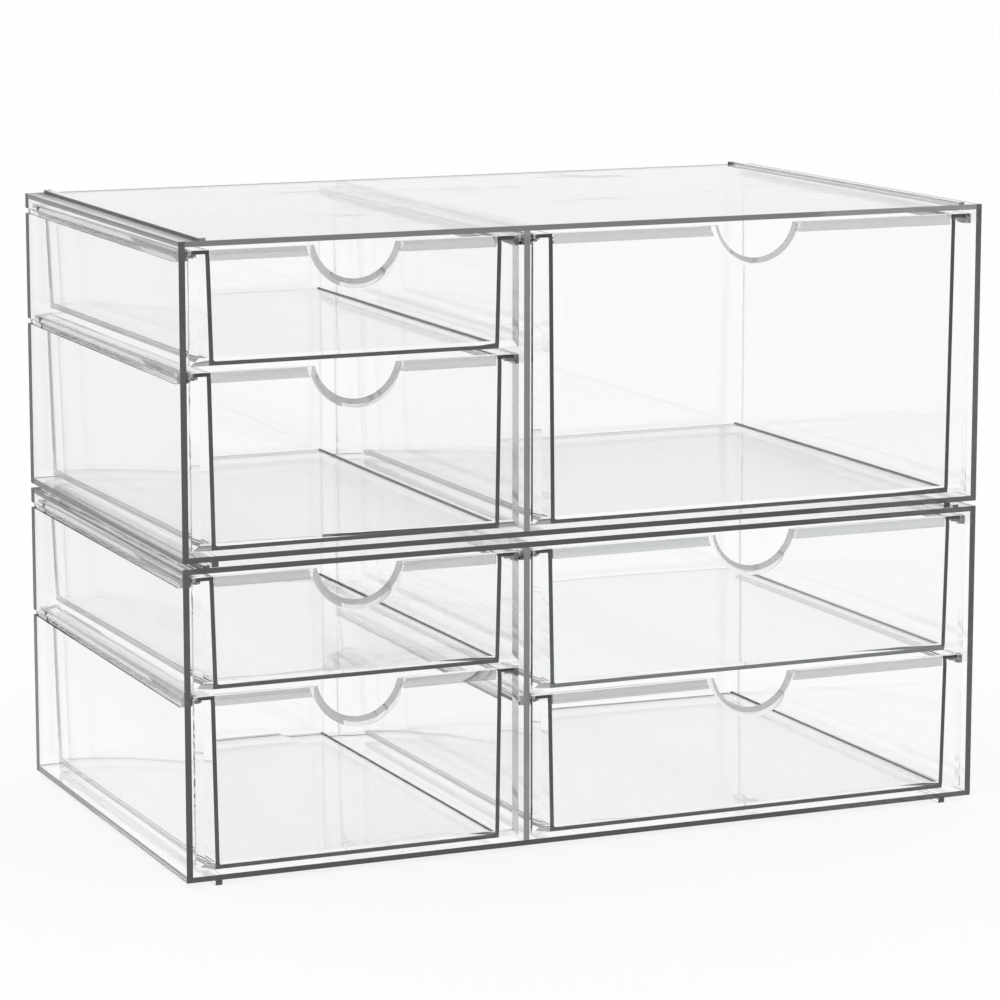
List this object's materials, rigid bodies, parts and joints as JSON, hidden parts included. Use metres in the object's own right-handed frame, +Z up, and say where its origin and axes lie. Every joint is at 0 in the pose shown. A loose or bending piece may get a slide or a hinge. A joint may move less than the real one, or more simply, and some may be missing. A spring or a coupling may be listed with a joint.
{
  "type": "drawer organizer",
  "caption": "Clear plastic organizer made of two stacked cabinets, each with a narrow and a wide bay of sliding drawers that open by a finger notch in their fronts.",
  "frame": {"origin": "middle of the bounding box in plan, at the underside of the lower cabinet's feet", "axes": "+X to the right as seen from the front, +Y from the drawer fronts to the back, +Z up"},
  "size_m": [0.32, 0.185, 0.2318],
  "materials": {
    "clear_cabinet": "clear, polished",
    "clear_drawer": "clear, polished",
    "tinted_drawer": "clear with a faint blue-grey tint, polished"
  },
  "bodies": {
    "lower_cabinet": {"lower_top_panel": "clear_cabinet", "lower_base_panel": "clear_cabinet", "lower_left_side": "clear_cabinet", "lower_right_side": "clear_cabinet", "lower_divider": "clear_cabinet", "lower_back_panel": "clear_cabinet"},
    "upper_cabinet": {"upper_top_panel": "clear_cabinet", "upper_base_panel": "clear_cabinet", "upper_left_side": "clear_cabinet", "upper_right_side": "clear_cabinet", "upper_divider": "clear_cabinet", "upper_back_panel": "clear_cabinet"},
    "upper_left_top_drawer": {"upper_left_top_drawer_tub": "clear_drawer", "upper_left_top_drawer_front": "clear_drawer"},
    "upper_left_bottom_drawer": {"upper_left_bottom_drawer_tub": "clear_drawer", "upper_left_bottom_drawer_front": "clear_drawer"},
    "upper_right_drawer": {"upper_right_drawer_tub": "clear_drawer", "upper_right_drawer_front": "clear_drawer"},
    "lower_left_top_drawer": {"lower_left_top_drawer_tub": "clear_drawer", "lower_left_top_drawer_front": "clear_drawer"},
    "lower_left_bottom_drawer": {"lower_left_bottom_drawer_tub": "clear_drawer", "lower_left_bottom_drawer_front": "clear_drawer"},
    "lower_right_top_drawer": {"lower_right_top_drawer_tub": "tinted_drawer", "lower_right_top_drawer_front": "tinted_drawer"},
    "lower_right_bottom_drawer": {"lower_right_bottom_drawer_tub": "clear_drawer", "lower_right_bottom_drawer_front": "clear_drawer"}
  },
  "joints": [
    {"name": "upper_cabinet_lift", "type": "slide", "parent": "lower_cabinet", "child": "upper_cabinet", "axis": [0, 0, 1], "range_m": [0, 0.05]},
    {"name": "upper_left_top_drawer_slide", "type": "slide", "parent": "upper_cabinet", "child": "upper_left_top_drawer", "axis": [0, -1, 0], "range_m": [0, 0.14]},
    {"name": "upper_left_bottom_drawer_slide", "type": "slide", "parent": "upper_cabinet", "child": "upper_left_bottom_drawer", "axis": [0, -1, 0], "range_m": [0, 0.14]},
    {"name": "upper_right_drawer_slide", "type": "slide", "parent": "upper_cabinet", "child": "upper_right_drawer", "axis": [0, -1, 0], "range_m": [0, 0.14]},
    {"name": "lower_left_top_drawer_slide", "type": "slide", "parent": "lower_cabinet", "child": "lower_left_top_drawer", "axis": [0, -1, 0], "range_m": [0, 0.14]},
    {"name": "lower_left_bottom_drawer_slide", "type": "slide", "parent": "lower_cabinet", "child": "lower_left_bottom_drawer", "axis": [0, -1, 0], "range_m": [0, 0.14]},
    {"name": "lower_right_top_drawer_slide", "type": "slide", "parent": "lower_cabinet", "child": "lower_right_top_drawer", "axis": [0, -1, 0], "range_m": [0, 0.14]},
    {"name": "lower_right_bottom_drawer_slide", "type": "slide", "parent": "lower_cabinet", "child": "lower_right_bottom_drawer", "axis": [0, -1, 0], "range_m": [0, 0.14]}
  ]
}
